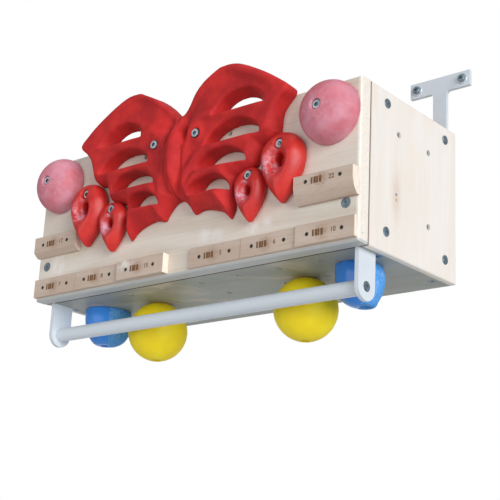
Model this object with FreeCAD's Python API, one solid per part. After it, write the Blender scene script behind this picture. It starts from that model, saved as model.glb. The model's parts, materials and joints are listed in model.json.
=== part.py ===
"""Wall-mounted climbing training station: a plywood box with resin finger holds, wooden edges
and a pull-up bar, hung on two T-shaped steel wall plates. All sizes are in millimetres.

The pieces are drawn in the box's own frame: x = 0 on the centre line, +X to the right of someone
who faces the board, y = 0 on the front face with +Y towards the wall, z = 0 on the underside.
write_node moves them to the part's frame, whose origin is on the wall plane, on the centre line,
at the height of the wall bolts.
"""
import FreeCAD, Part
import math
import os
from FreeCAD import Vector

# ---- plywood box ----
BOX_W = 816.0
BOX_H = 302.0
BOX_D = 318.0
FRONT_T = 30.0
SIDE_T = 12.0
BOTTOM_T = 18.0
TOP_T = 9.0
FRONT_ROUND = 6.0
EDGE_ROUND = 3.0
CLEAT = 36.0
REAR_CLEAT_W = 54.0
REAR_CLEAT_D = 48.0
HALF_W = BOX_W / 2
INNER_W = HALF_W - SIDE_T

# ---- threaded inserts (T-nuts) and bolts ----
GRID = 47.5
TNUT_R = 5.75
TNUT_LEN = 9.0
TNUT_FLANGE_R = 11.0
TNUT_FLANGE_T = 1.5
BOLT_R = 5.0
BOLT_CLEAR_R = 5.5
HEAD_R = 8.0
HEAD_H = 6.0
RECESS_R = 9.5
SOCKET_AF = 6.0
ROW_FRONT_Y = 65.0
ROW_BACK_Y = 148.0
SIDE_HOLES = [(119.0, 230.0), (219.0, 229.0), (219.5, 85.0)]

# ---- panel screws ----
SCREW_R = 2.5
SCREW_LEN = 32.0
FACE_DISC_R = 10.0
FACE_DISC_T = 3.0
FACE_SCREW_INSET = 27.0
FACE_SCREW_Z = (71.5, 230.5)
SIDE_SCREWS = [(82.0, 38.0), (277.0, 38.0), (81.0, 277.0), (277.0, 275.0)]
SIDE_WASHER_R = 9.0
SIDE_WASHER_T = 2.0
UNDER_SCREW_INSET = 25.0
UNDER_SCREW_Y = (92.0, 275.0)

# ---- pull-up bar ----
PLATE_T = 8.0
PLATE_W = 50.0
PLATE_INSET = 19.0
BAR_R = 14.0
BAR_WALL = 2.5
BAR_Y = FRONT_T + PLATE_W / 2
BAR_Z = -63.5
FOOT_LEN = 60.0
BAR_PLUG_LEN = 30.0
BAR_BOLT_R = 5.0
BAR_HEAD_R = 8.5
BAR_HEAD_DEPTH = 4.0

# ---- holds ----
SLOPER_X = 349.0
SLOPER_Z = 242.0
SLOPER_R = 60.0
SLOPER_H = 55.0
WING_T = 38.0
ROOT_CENTRE = (17.0, 217.0)
ROOT_RADII = (16.0, 50.0, 86.0)
WING_BOLT = (54.0, 261.0)
POCKETS = {
    "pocket_large": {"x": 250.0, "z": 177.0, "r": 43.0, "tip": 85.0, "depth": 42.0, "hole_r": 13.5,
                     "bolt_z": 200.0, "hole_z": 170.0},
    "pocket_small": {"x": 177.0, "z": 140.0, "r": 29.5, "tip": 72.0, "depth": 34.0, "hole_r": 9.0,
                     "bolt_z": 156.0, "hole_z": 128.0},
}
BALL_X = 4 * GRID
BALL_R = 61.0
BALL_Z = -59.0
PINCH_X = 7 * GRID
PINCH_Y = 136.0
PINCH_R = 49.0
PINCH_H = 75.0

# ---- wooden edges: length, height and how far each stands out of the panel ----
EDGE_L = 126.0
EDGE_H = 38.0
EDGE_Z = 6.0
EDGE_GAP_AT_END = 1.0
EDGE_PLACES = {"edge_07mm": -3, "edge_08mm": -2, "edge_15mm": -1, "edge_05mm": 1, "edge_06mm": 2, "edge_10mm": 3}
EDGE_SCREW_R = 1.75
EDGE_SCREW_HEAD_R = 3.8
EDGE_SCREW_LEN = 20.0
EDGE_SCREW_AT = 0.29

# ---- wall plates ----
PLATE_BACK_T = 8.0
CROSS_W = 134.0
CROSS_H = 32.0
CROSS_Z = 399.0
STEM_W = 30.0
STEM_X = 372.0
STEM_BOTTOM = 30.0
WALL_HOLE_PITCH = 102.0
WALL_HOLE_R = 5.5
STEM_SCREW_Z = (60.0, 160.0, 260.0)
WALL_BOLT_Z = CROSS_Z + CROSS_H / 2
TO_PART_FRAME = Vector(0, -(BOX_D + PLATE_BACK_T), -WALL_BOLT_Z)


def write_node(name, shape):
    """Save one named piece, moved from the box's frame to the part's frame."""
    moved = shape.copy()
    moved.translate(TO_PART_FRAME)
    moved.exportStep("parts/%s.step" % name)
    print("%-22s solids %d valid %s" % (name, len(moved.Solids), moved.isValid()))


def mirrored(shape):
    """The same piece on the other side of the centre line."""
    return shape.mirror(Vector(0, 0, 0), Vector(1, 0, 0))


def block(x0, x1, y0, y1, z0, z1):
    return Part.makeBox(x1 - x0, y1 - y0, z1 - z0, Vector(x0, y0, z0))


def rod(r, length, start, axis):
    return Part.makeCylinder(r, length, Vector(*start), Vector(*axis))


def hex_socket(across_flats, depth, start, axis):
    """The six-sided hole in a socket head."""
    r = across_flats / math.sqrt(3)
    corners = [Vector(r * math.cos(math.radians(60 * k)), r * math.sin(math.radians(60 * k)), 0) for k in range(7)]
    prism = Part.Face(Part.makePolygon(corners)).extrude(Vector(0, 0, depth))
    prism.Placement = FreeCAD.Placement(Vector(*start), FreeCAD.Rotation(Vector(0, 0, 1), Vector(*axis)))
    return prism


def socket_bolt(seat, axis, shank_len, shank_r=BOLT_R, head_r=HEAD_R, head_h=HEAD_H, socket=SOCKET_AF):
    """A cap screw whose head sits on seat; axis points the way the shank goes."""
    back = [-c for c in axis]
    top = [s + b * head_h for s, b in zip(seat, back)]
    head = rod(head_r, head_h, seat, back)
    bolt = head.fuse(rod(shank_r, shank_len, seat, axis))
    return bolt.cut(hex_socket(socket, head_h * 0.6, top, axis)).removeSplitter()


def t_nut(mouth, axis):
    """A pronged nut behind a panel; mouth is on the panel's back face, axis points into the panel."""
    back = [-c for c in axis]
    barrel = rod(TNUT_R, TNUT_LEN, mouth, axis)
    flange = rod(TNUT_FLANGE_R, TNUT_FLANGE_T, mouth, back)
    start = [m + b * TNUT_FLANGE_T for m, b in zip(mouth, back)]
    thread = rod(BOLT_R, TNUT_LEN + TNUT_FLANGE_T, start, axis)
    return barrel.fuse(flange).cut(thread).removeSplitter()


def edges_where(shape, test):
    return [e for e in shape.Edges if test(e.BoundBox)]


# ---------------------------------------------------------------- where the bolts go
def front_bolt_points():
    """(x, z) of every T-nut in the right half of the front panel."""
    points = [WING_BOLT, (SLOPER_X, SLOPER_Z), (110.0, 260.0)]
    points += [(p["x"], p["bolt_z"]) for p in POCKETS.values()]
    return points


def both_sides(points):
    return list(points) + [(-p[0],) + tuple(p[1:]) for p in points]


def under_bolt_points():
    """(x, y) of every T-nut in the bottom panel."""
    front_row = [(2 * k * GRID, ROW_FRONT_Y) for k in range(-3, 4)]
    back_row = [(k * GRID, ROW_BACK_Y) for k in (-5, -4, -3, 0, 3, 4, 5)]
    return front_row + back_row + both_sides([(PINCH_X, PINCH_Y)])


# ---------------------------------------------------------------- plywood box
def make_front_panel():
    panel = block(-HALF_W, HALF_W, 0, FRONT_T, 0, BOX_H)
    front = edges_where(panel, lambda b: b.YMax < 1)
    panel = panel.makeFillet(FRONT_ROUND, front)
    back = edges_where(panel, lambda b: b.YMin > FRONT_T - 1)
    panel = panel.makeFillet(EDGE_ROUND, back)
    for x, z in both_sides(front_bolt_points()):
        panel = panel.cut(rod(TNUT_R, FRONT_T, (x, 0, z), (0, 1, 0)))
    for x, z in face_screw_points():
        panel = panel.cut(rod(FACE_DISC_R, FACE_DISC_T, (x, 0, z), (0, 1, 0)))
        panel = panel.cut(rod(SCREW_R, FRONT_T, (x, 0, z), (0, 1, 0)))
    for x, z, _depth in edge_screw_points():
        panel = panel.cut(rod(EDGE_SCREW_R, FRONT_T, (x, 0, z), (0, 1, 0)))
    return panel


def make_side_panel():
    """The right side panel, behind the front panel, with rounded outer edges."""
    panel = block(INNER_W, HALF_W, FRONT_T, BOX_D, 0, BOX_H)
    outer = edges_where(panel, lambda b: b.XMin > HALF_W - 1)
    panel = panel.makeFillet(EDGE_ROUND, outer)
    for y, z in SIDE_HOLES:
        panel = panel.cut(rod(TNUT_R, SIDE_T, (INNER_W, y, z), (1, 0, 0)))
    for y, z in SIDE_SCREWS:
        panel = panel.cut(rod(SCREW_R, SIDE_T, (INNER_W, y, z), (1, 0, 0)))
    return panel


def make_bottom_panel():
    panel = block(-INNER_W, INNER_W, FRONT_T, BOX_D, 0, BOTTOM_T)
    for x, y in under_bolt_points():
        panel = panel.cut(rod(TNUT_R, BOTTOM_T, (x, y, 0), (0, 0, 1)))
    for x, y in under_screw_points():
        panel = panel.cut(rod(FACE_DISC_R, FACE_DISC_T, (x, y, 0), (0, 0, 1)))
        panel = panel.cut(rod(SCREW_R, BOTTOM_T, (x, y, 0), (0, 0, 1)))
    slot_x = HALF_W - PLATE_INSET
    for side in (1, -1):
        x_low = min(side * slot_x, side * (slot_x - PLATE_T))
        panel = panel.cut(block(x_low, x_low + PLATE_T, BAR_Y - PLATE_W / 2, BAR_Y + PLATE_W / 2, 0, BOTTOM_T))
    return panel


def make_top_panel():
    return block(-INNER_W, INNER_W, FRONT_T, BOX_D, BOX_H - TOP_T, BOX_H)


def make_front_cleat():
    """Vertical batten in the front right corner; it stands on the bar bracket's foot."""
    z_low = BOTTOM_T + PLATE_T
    cleat = block(INNER_W - CLEAT, INNER_W, FRONT_T, FRONT_T + CLEAT, z_low, BOX_H - TOP_T)
    for x, z in face_screw_points():
        cleat = cleat.cut(rod(SCREW_R, SCREW_LEN, (x, FRONT_T, z), (0, 1, 0)))
    return cleat


def make_rear_cleat():
    """Vertical batten that takes the wall plate's stem."""
    cleat = block(INNER_W - REAR_CLEAT_W, INNER_W, BOX_D - REAR_CLEAT_D, BOX_D, BOTTOM_T, BOX_H - TOP_T)
    for z in STEM_SCREW_Z:
        cleat = cleat.cut(rod(SCREW_R, SCREW_LEN, (STEM_X, BOX_D, z), (0, -1, 0)))
    return drill_for_panel_screws(cleat)


def make_side_cleat(z_low, y_low):
    """Horizontal batten between the front and rear cleats."""
    cleat = block(INNER_W - CLEAT, INNER_W, y_low, BOX_D - REAR_CLEAT_D, z_low, z_low + CLEAT)
    return drill_for_panel_screws(cleat)


def drill_for_panel_screws(cleat):
    """Holes where the side panel's and the bottom panel's screws bite."""
    for y, z in SIDE_SCREWS:
        cleat = cleat.cut(rod(SCREW_R, SCREW_LEN, (INNER_W, y, z), (-1, 0, 0)))
    for x, y in under_screw_points():
        cleat = cleat.cut(rod(SCREW_R, SCREW_LEN - BOTTOM_T, (x, y, BOTTOM_T), (0, 0, 1)))
    return cleat


# ---------------------------------------------------------------- screws of the box
def face_screw_points():
    return both_sides([(HALF_W - FACE_SCREW_INSET, z) for z in FACE_SCREW_Z])


def under_screw_points():
    return both_sides([(HALF_W - UNDER_SCREW_INSET, y) for y in UNDER_SCREW_Y])


def flat_screw(point, axis, length):
    """A wood screw with a flat disc head let into the panel, driven by a hex key."""
    disc = rod(FACE_DISC_R, FACE_DISC_T, point, axis)
    screw = disc.fuse(rod(SCREW_R, length, point, axis))
    return screw.cut(hex_socket(SOCKET_AF, FACE_DISC_T * 0.7, point, axis)).removeSplitter()


def make_front_panel_screws():
    return Part.makeCompound([flat_screw((x, 0, z), (0, 1, 0), FRONT_T + SCREW_LEN) for x, z in face_screw_points()])


def make_bottom_panel_screws():
    return Part.makeCompound([flat_screw((x, y, 0), (0, 0, 1), SCREW_LEN) for x, y in under_screw_points()])


def make_side_panel_screws():
    """Round-head screws on finishing washers, four in each side panel."""
    solids = []
    for y, z in SIDE_SCREWS:
        seat = (HALF_W, y, z)
        washer = rod(SIDE_WASHER_R, SIDE_WASHER_T, seat, (1, 0, 0))
        washer = washer.makeFillet(1.2, edges_where(washer, lambda b: b.XMin > HALF_W + SIDE_WASHER_T - 0.1))
        screw = washer.fuse(rod(SCREW_R, SIDE_T + SCREW_LEN, seat, (-1, 0, 0)))
        top = (HALF_W + SIDE_WASHER_T, y, z)
        solids.append(screw.cut(hex_socket(4.0, 1.5, top, (-1, 0, 0))).removeSplitter())
    return Part.makeCompound(solids + [mirrored(s) for s in solids])


# ---------------------------------------------------------------- T-nuts
def make_front_t_nuts():
    return Part.makeCompound([t_nut((x, FRONT_T, z), (0, -1, 0)) for x, z in both_sides(front_bolt_points())])


def make_bottom_t_nuts():
    return Part.makeCompound([t_nut((x, y, BOTTOM_T), (0, 0, -1)) for x, y in under_bolt_points()])


def make_side_t_nuts():
    right = [t_nut((INNER_W, y, z), (1, 0, 0)) for y, z in SIDE_HOLES]
    return Part.makeCompound(right + [mirrored(n) for n in right])


# ---------------------------------------------------------------- pull-up bar
def make_bar_bracket():
    """Right bracket: a round-ended plate through the bottom panel, welded to a foot inside."""
    x_out = HALF_W - PLATE_INSET
    x_in = x_out - PLATE_T
    half = PLATE_W / 2
    plate = block(x_in, x_out, BAR_Y - half, BAR_Y + half, BAR_Z, BOTTOM_T + PLATE_T)
    plate = plate.fuse(rod(half, PLATE_T, (x_in, BAR_Y, BAR_Z), (1, 0, 0)))
    foot = block(x_in - FOOT_LEN, x_in, BAR_Y - half, BAR_Y + half, BOTTOM_T, BOTTOM_T + PLATE_T)
    bracket = plate.fuse(foot).removeSplitter()
    bracket = bracket.cut(rod(BOLT_CLEAR_R, PLATE_T, (x_in, BAR_Y, BAR_Z), (1, 0, 0)))
    bracket = bracket.cut(rod(RECESS_R, BAR_HEAD_DEPTH, (x_out, BAR_Y, BAR_Z), (-1, 0, 0)))
    for x, y in foot_screw_points():
        bracket = bracket.cut(rod(SCREW_R, PLATE_T, (x, y, BOTTOM_T), (0, 0, 1)))
    return bracket


def foot_screw_points():
    x = HALF_W - PLATE_INSET - PLATE_T - FOOT_LEN + 14
    return [(x, BAR_Y - 14), (x, BAR_Y + 14)]


def make_foot_screws():
    """Short screws that hold the bracket feet down on the bottom panel."""
    top = BOTTOM_T + PLATE_T
    right = []
    for x, y in foot_screw_points():
        head = rod(5.0, 3.0, (x, y, top), (0, 0, 1))
        right.append(head.fuse(rod(SCREW_R, PLATE_T, (x, y, top), (0, 0, -1))).removeSplitter())
    return Part.makeCompound(right + [mirrored(s) for s in right])


def bar_end_x():
    return HALF_W - PLATE_INSET - PLATE_T


def make_pull_up_bar():
    start = (-bar_end_x(), BAR_Y, BAR_Z)
    tube = rod(BAR_R, 2 * bar_end_x(), start, (1, 0, 0))
    return tube.cut(rod(BAR_R - BAR_WALL, 2 * bar_end_x(), start, (1, 0, 0)))


def make_bar_plug():
    """Threaded steel plug welded into the right end of the tube."""
    start = (bar_end_x(), BAR_Y, BAR_Z)
    plug = rod(BAR_R - BAR_WALL, BAR_PLUG_LEN, start, (-1, 0, 0))
    return plug.cut(rod(BAR_BOLT_R, BAR_PLUG_LEN, start, (-1, 0, 0)))


def make_bar_bolts():
    seat = (HALF_W - PLATE_INSET - BAR_HEAD_DEPTH, BAR_Y, BAR_Z)
    bolt = socket_bolt(seat, (-1, 0, 0), 26.0, BAR_BOLT_R, BAR_HEAD_R, BAR_HEAD_DEPTH + 1.0, SOCKET_AF)
    return Part.makeCompound([bolt, mirrored(bolt)])


# ---------------------------------------------------------------- resin holds on the front
def spline_through(points):
    curve = Part.BSplineCurve()
    curve.interpolate([Vector(x, 0, z) for x, z in points])
    return curve.toShape()


def wing_outline():
    """Right wing seen from the front: a swept top edge, a notched outer edge and two lower tips."""
    runs = [
        [(3, 306), (26, 342), (58, 366), (104, 385)],
        [(104, 385), (150, 378), (215, 350), (268, 315)],
        [(268, 315), (281, 303), (280, 291)],
        [(280, 291), (254, 278), (241, 262), (236, 226)],
        [(236, 226), (226, 216), (213, 211), (196, 209)],
        [(196, 209), (188, 188), (170, 174)],
        [(170, 174), (158, 167), (145, 164)],
        [(145, 164), (136, 124), (128, 86)],
        [(128, 86), (106, 103), (66, 114), (38, 109)],
        [(38, 109), (28, 124), (14, 138), (3, 146)],
        [(3, 146), (3, 306)],
    ]
    return Part.Wire([spline_through(run) for run in runs])


def slot_shape(x_left, x_right, z_lip, rise):
    """Half-moon finger slot: flat lower lip, arched roof, cut right through."""
    left = Vector(x_left, 1, z_lip)
    right = Vector(x_right, 1, z_lip)
    roof = Part.Arc(left, Vector((x_left + x_right) / 2, 1, z_lip + rise), right).toShape()
    face = Part.Face(Part.Wire([roof, Part.makeLine(right, left)]))
    return face.extrude(Vector(0, -80, 0))


WING_SLOTS = [(124.0, 226.0, 289.0, 44.0), (106.0, 214.0, 231.0, 36.0), (94.0, 184.0, 186.0, 28.0),
              (80.0, 150.0, 139.0, 24.0)]


def make_wing_root():
    """The thick leaf-shaped ridge beside the centre line: the front half of an ellipsoid."""
    ball = Part.makeSphere(1.0, Vector(0, 0, 0), Vector(0, -1, 0), 0, 90)
    stretch = FreeCAD.Matrix()
    stretch.scale(*ROOT_RADII)
    root = ball.transformGeometry(stretch)
    root.translate(Vector(ROOT_CENTRE[0], 0, ROOT_CENTRE[1]))
    return root


def make_wing():
    body = Part.Face(wing_outline()).extrude(Vector(0, -WING_T, 0))
    body = body.fuse(make_wing_root())
    for slot in WING_SLOTS:
        body = body.cut(slot_shape(*slot))
    x, z = WING_BOLT
    body = body.cut(rod(BOLT_CLEAR_R, WING_T, (x, 0, z), (0, -1, 0)))
    body = body.cut(rod(RECESS_R, HEAD_H, (x, -WING_T, z), (0, 1, 0)))
    return body


def make_sloper():
    """Right sloper: a half ellipsoid turned about its bolt."""
    dome = Part.makeSphere(SLOPER_R, Vector(0, 0, 0), Vector(0, -1, 0), 0, 90)
    squash = FreeCAD.Matrix()
    squash.scale(1, SLOPER_H / SLOPER_R, 1)
    dome = dome.transformGeometry(squash)
    dome.translate(Vector(SLOPER_X, 0, SLOPER_Z))
    dome = dome.cut(rod(BOLT_CLEAR_R, SLOPER_H, (SLOPER_X, 0, SLOPER_Z), (0, -1, 0)))
    return dome.cut(rod(RECESS_R, 10.0, (SLOPER_X, 1 - SLOPER_H, SLOPER_Z), (0, 1, 0)))


def teardrop(x, y, z, r, tip):
    """Closed wire: an arc over the top and two straight flanks down to a small blunt tip."""
    drop = z - tip
    lean = math.acos(r / drop)
    side_x = r * math.sin(lean)
    side_z = -r * math.cos(lean)
    right = Vector(x + side_x, y, z + side_z)
    left = Vector(x - side_x, y, z + side_z)
    arc = Part.Arc(right, Vector(x, y, z + r), left).toShape()
    point = Vector(x, y, tip)
    return Part.Wire([arc, Part.makeLine(left, point), Part.makeLine(point, right)])


def make_pocket(p):
    """Teardrop finger pocket that tapers outwards, with one deep finger hole below its bolt."""
    base = teardrop(p["x"], 0, p["z"], p["r"], p["tip"])
    mid_y = -0.6 * p["depth"]
    mid = teardrop(p["x"], mid_y, p["z"], p["r"] * 0.86, p["tip"] + 14)
    crown = teardrop(p["x"], -p["depth"], p["z"] - 6, p["r"] * 0.48, p["tip"] + 44)
    body = Part.makeLoft([base, mid, crown], True, True)
    body = body.cut(rod(BOLT_CLEAR_R, p["depth"], (p["x"], 0, p["bolt_z"]), (0, -1, 0)))
    seat_y = -0.45 * p["depth"]
    body = body.cut(rod(RECESS_R, p["depth"], (p["x"], seat_y, p["bolt_z"]), (0, -1, 0)))
    return body.cut(rod(p["hole_r"], p["depth"], (p["x"], -8, p["hole_z"]), (0, -1, 0)))


def hold_bolt(x, z, seat_y):
    return socket_bolt((x, seat_y, z), (0, 1, 0), FRONT_T - TNUT_LEN + 8 - seat_y)


def make_wing_bolts():
    x, z = WING_BOLT
    bolt = hold_bolt(x, z, HEAD_H - WING_T)
    return Part.makeCompound([bolt, mirrored(bolt)])


def make_sloper_bolts():
    bolt = hold_bolt(SLOPER_X, SLOPER_Z, 11.0 - SLOPER_H)
    return Part.makeCompound([bolt, mirrored(bolt)])


def make_pocket_bolts():
    bolts = [hold_bolt(p["x"], p["bolt_z"], -0.45 * p["depth"]) for p in POCKETS.values()]
    return Part.makeCompound(bolts + [mirrored(b) for b in bolts])


# ---------------------------------------------------------------- wooden edges
def edge_x(place):
    """Centre of one of the six lower edges: places 1 to 3 run outwards on each side."""
    from_end = (3 - abs(place)) * (EDGE_L + 0.3) + EDGE_L / 2 + EDGE_GAP_AT_END
    return math.copysign(HALF_W - from_end, place)


def lower_edges():
    """name, centre x, bottom z and depth of the six lower edges."""
    return [(name, edge_x(place), EDGE_Z, float(name[5:7])) for name, place in EDGE_PLACES.items()]


def make_lower_edge(x, z, depth):
    strip = block(x - EDGE_L / 2, x + EDGE_L / 2, -depth, 0, z, z + EDGE_H)
    front = edges_where(strip, lambda b: b.YMax < 0.1 - depth)
    strip = strip.makeFillet(1.2, front)
    return drill_edge(strip, x, z + EDGE_H / 2, depth)


UPPER_LEFT = {"x": -344.0, "z": 91.0, "h": 42.0, "depth": 17.0}
UPPER_RIGHT = {"x": 346.5, "z": 80.0, "h": 49.0, "depth": 22.0}


def extrude_profile(points, x, length):
    """Closed (y, z) profile extruded along X about the centre x."""
    start = x - length / 2
    corners = [Vector(start, y, z) for y, z in points]
    return Part.Face(Part.makePolygon(corners + corners[:1])).extrude(Vector(length, 0, 0))


def make_upper_left_edge():
    """Deep edge with its underside cut back towards the panel."""
    e = UPPER_LEFT
    z0 = e["z"]
    d = e["depth"]
    body = extrude_profile([(0, z0), (11 - d, z0), (-d, z0 + 9), (-d, z0 + e["h"]), (0, z0 + e["h"])], e["x"], EDGE_L)
    return drill_edge(body, e["x"], z0 + 24.0, d)


def make_upper_right_edge():
    """The deepest edge: a straight lip on top and a hollow curve below it back to the panel."""
    e = UPPER_RIGHT
    d = e["depth"]
    x0 = e["x"] - EDGE_L / 2
    z0 = e["z"]
    z_lip = z0 + e["h"] - 19
    z_top = z0 + e["h"]
    curve = Part.Arc(Vector(x0, -d, z_lip), Vector(x0, -d + 4, z0 + 14), Vector(x0, -8, z0)).toShape()
    lines = [Part.makeLine(Vector(x0, -8, z0), Vector(x0, 0, z0)),
             Part.makeLine(Vector(x0, 0, z0), Vector(x0, 0, z_top)),
             Part.makeLine(Vector(x0, 0, z_top), Vector(x0, -d, z_top)),
             Part.makeLine(Vector(x0, -d, z_top), Vector(x0, -d, z_lip))]
    body = Part.Face(Part.Wire([curve] + lines)).extrude(Vector(EDGE_L, 0, 0))
    return drill_edge(body, e["x"], z_lip + 6, d)


def drill_edge(body, x, z, depth):
    """Countersunk holes for the two screws of one edge."""
    for side in (-1, 1):
        at = x + side * EDGE_SCREW_AT * EDGE_L
        body = body.cut(rod(EDGE_SCREW_R, depth, (at, -depth, z), (0, 1, 0)))
        body = body.cut(Part.makeCone(EDGE_SCREW_HEAD_R, EDGE_SCREW_R, 3.0, Vector(at, -depth, z), Vector(0, 1, 0)))
    return body


def edge_screw_points():
    """(x, z, depth) of the sixteen edge screws."""
    rows = [(x, z + EDGE_H / 2, depth) for _name, x, z, depth in lower_edges()]
    rows.append((UPPER_LEFT["x"], UPPER_LEFT["z"] + 24.0, UPPER_LEFT["depth"]))
    lip = UPPER_RIGHT["z"] + UPPER_RIGHT["h"] - 19
    rows.append((UPPER_RIGHT["x"], lip + 6, UPPER_RIGHT["depth"]))
    return [(x + side * EDGE_SCREW_AT * EDGE_L, z, depth) for x, z, depth in rows for side in (-1, 1)]


def make_edge_screws():
    """Countersunk wood screws."""
    solids = []
    for x, z, depth in edge_screw_points():
        head = Part.makeCone(EDGE_SCREW_HEAD_R, EDGE_SCREW_R, 3.0, Vector(x, -depth, z), Vector(0, 1, 0))
        screw = head.fuse(rod(EDGE_SCREW_R, depth + EDGE_SCREW_LEN, (x, -depth, z), (0, 1, 0)))
        solids.append(screw.cut(hex_socket(2.5, 1.5, (x, -depth, z), (0, 1, 0))).removeSplitter())
    return Part.makeCompound(solids)


# ---------------------------------------------------------------- holds under the box
def make_ball():
    """Right ball, flattened where it bears on the underside, with a recess for its bolt head."""
    ball = Part.makeSphere(BALL_R, Vector(BALL_X, ROW_BACK_Y, BALL_Z))
    ball = ball.cut(block(BALL_X - BALL_R, BALL_X + BALL_R, ROW_BACK_Y - BALL_R, ROW_BACK_Y + BALL_R, 0, BALL_R))
    ball = ball.cut(rod(BOLT_CLEAR_R, 2 * BALL_R, (BALL_X, ROW_BACK_Y, 0), (0, 0, -1)))
    low = BALL_Z - BALL_R
    return ball.cut(rod(RECESS_R, 14.0, (BALL_X, ROW_BACK_Y, low), (0, 0, 1)))


def make_pinch():
    """Right pinch hold: a short upright wall that rounds over to a flat crown."""
    wall = 14.0
    crown_r = 14.0
    top = Vector(0, 0, 0)
    rim = Vector(PINCH_R, 0, 0)
    shoulder = Vector(PINCH_R, 0, -wall)
    crown = Vector(crown_r, 0, -PINCH_H)
    middle = Vector(PINCH_R * 0.80, 0, -PINCH_H * 0.70)
    profile = Part.Wire([Part.makeLine(top, rim), Part.makeLine(rim, shoulder),
                         Part.Arc(shoulder, middle, crown).toShape(),
                         Part.makeLine(crown, Vector(0, 0, -PINCH_H)), Part.makeLine(Vector(0, 0, -PINCH_H), top)])
    body = Part.Face(profile).revolve(Vector(0, 0, 0), Vector(0, 0, 1), 360)
    body.translate(Vector(PINCH_X, PINCH_Y, 0))
    body = body.cut(rod(BOLT_CLEAR_R, PINCH_H, (PINCH_X, PINCH_Y, 0), (0, 0, -1)))
    return body.cut(rod(RECESS_R, 30.0, (PINCH_X, PINCH_Y, -PINCH_H), (0, 0, 1)))


def make_ball_bolts():
    bolt = socket_bolt((BALL_X, ROW_BACK_Y, BALL_Z - BALL_R + 14.0), (0, 0, 1), 2 * BALL_R - 14 - 2 + BOTTOM_T - 2)
    return Part.makeCompound([bolt, mirrored(bolt)])


def make_pinch_bolts():
    bolt = socket_bolt((PINCH_X, PINCH_Y, 30.0 - PINCH_H), (0, 0, 1), PINCH_H - 30 + BOTTOM_T - 2)
    return Part.makeCompound([bolt, mirrored(bolt)])


# ---------------------------------------------------------------- wall plates
def make_wall_bracket():
    """Right T-shaped wall plate: a crossbar above the box and a stem down its back."""
    y0 = BOX_D
    y1 = BOX_D + PLATE_BACK_T
    cross = block(STEM_X - CROSS_W / 2, STEM_X + CROSS_W / 2, y0, y1, CROSS_Z, CROSS_Z + CROSS_H)
    stem = block(STEM_X - STEM_W / 2, STEM_X + STEM_W / 2, y0, y1, STEM_BOTTOM, CROSS_Z)
    plate = cross.fuse(stem).removeSplitter()
    inner = edges_where(plate, lambda b: b.XLength < 0.1 and b.ZLength < 0.1 and abs(b.ZMin - CROSS_Z) < 0.1
                        and abs(abs(b.XMin - STEM_X) - STEM_W / 2) < 0.1)
    plate = plate.makeFillet(7.0, inner)
    for side in (-1, 1):
        at = (STEM_X + side * WALL_HOLE_PITCH / 2, y0, WALL_BOLT_Z)
        plate = plate.cut(rod(WALL_HOLE_R, PLATE_BACK_T, at, (0, 1, 0)))
    for z in STEM_SCREW_Z:
        plate = plate.cut(rod(SCREW_R, PLATE_BACK_T, (STEM_X, y0, z), (0, 1, 0)))
        plate = plate.cut(Part.makeCone(6.0, SCREW_R, 4.0, Vector(STEM_X, y1, z), Vector(0, -1, 0)))
    return plate


def make_stem_screws():
    """Countersunk screws from the wall side through the stems into the rear cleats."""
    y1 = BOX_D + PLATE_BACK_T
    right = []
    for z in STEM_SCREW_Z:
        head = Part.makeCone(6.0, SCREW_R, 4.0, Vector(STEM_X, y1, z), Vector(0, -1, 0))
        right.append(head.fuse(rod(SCREW_R, PLATE_BACK_T + SCREW_LEN, (STEM_X, y1, z), (0, -1, 0))).removeSplitter())
    return Part.makeCompound(right + [mirrored(s) for s in right])


def write_pair(stem, right_shape):
    write_node(stem + "_right", right_shape)
    write_node(stem + "_left", mirrored(right_shape))


def main():
    os.makedirs("parts", exist_ok=True)
    write_node("front_panel", make_front_panel())
    write_pair("side_panel", make_side_panel())
    write_node("bottom_panel", make_bottom_panel())
    write_node("top_panel", make_top_panel())
    write_pair("front_cleat", make_front_cleat())
    write_pair("rear_cleat", make_rear_cleat())
    write_pair("upper_cleat", make_side_cleat(BOX_H - TOP_T - CLEAT, FRONT_T + CLEAT))
    write_pair("lower_cleat", make_side_cleat(BOTTOM_T, BAR_Y + PLATE_W / 2 + 1))
    write_node("front_panel_screws", make_front_panel_screws())
    write_node("bottom_panel_screws", make_bottom_panel_screws())
    write_node("side_panel_screws", make_side_panel_screws())
    write_node("front_t_nuts", make_front_t_nuts())
    write_node("bottom_t_nuts", make_bottom_t_nuts())
    write_node("side_t_nuts", make_side_t_nuts())
    write_pair("bar_bracket", make_bar_bracket())
    write_node("bracket_foot_screws", make_foot_screws())
    write_node("pull_up_bar", make_pull_up_bar())
    write_pair("bar_plug", make_bar_plug())
    write_node("bar_bolts", make_bar_bolts())
    write_pair("wing_board", make_wing())
    write_node("wing_bolts", make_wing_bolts())
    write_pair("sloper", make_sloper())
    write_node("sloper_bolts", make_sloper_bolts())
    for name, size in POCKETS.items():
        write_pair(name, make_pocket(size))
    write_node("pocket_bolts", make_pocket_bolts())
    for name, x, z, depth in lower_edges():
        write_node(name, make_lower_edge(x, z, depth))
    write_node("edge_17mm", make_upper_left_edge())
    write_node("edge_22mm", make_upper_right_edge())
    write_node("edge_screws", make_edge_screws())
    write_pair("ball", make_ball())
    write_node("ball_bolts", make_ball_bolts())
    write_pair("pinch", make_pinch())
    write_node("pinch_bolts", make_pinch_bolts())
    write_pair("wall_bracket", make_wall_bracket())
    write_node("stem_screws", make_stem_screws())


main()
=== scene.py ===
"""Wall-mounted climbing training station: sculpted resin holds and procedural finishes on the CAD frame."""
import json
import math

import bmesh
import bpy
import numpy as np
from mathutils import Matrix, Vector


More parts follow.
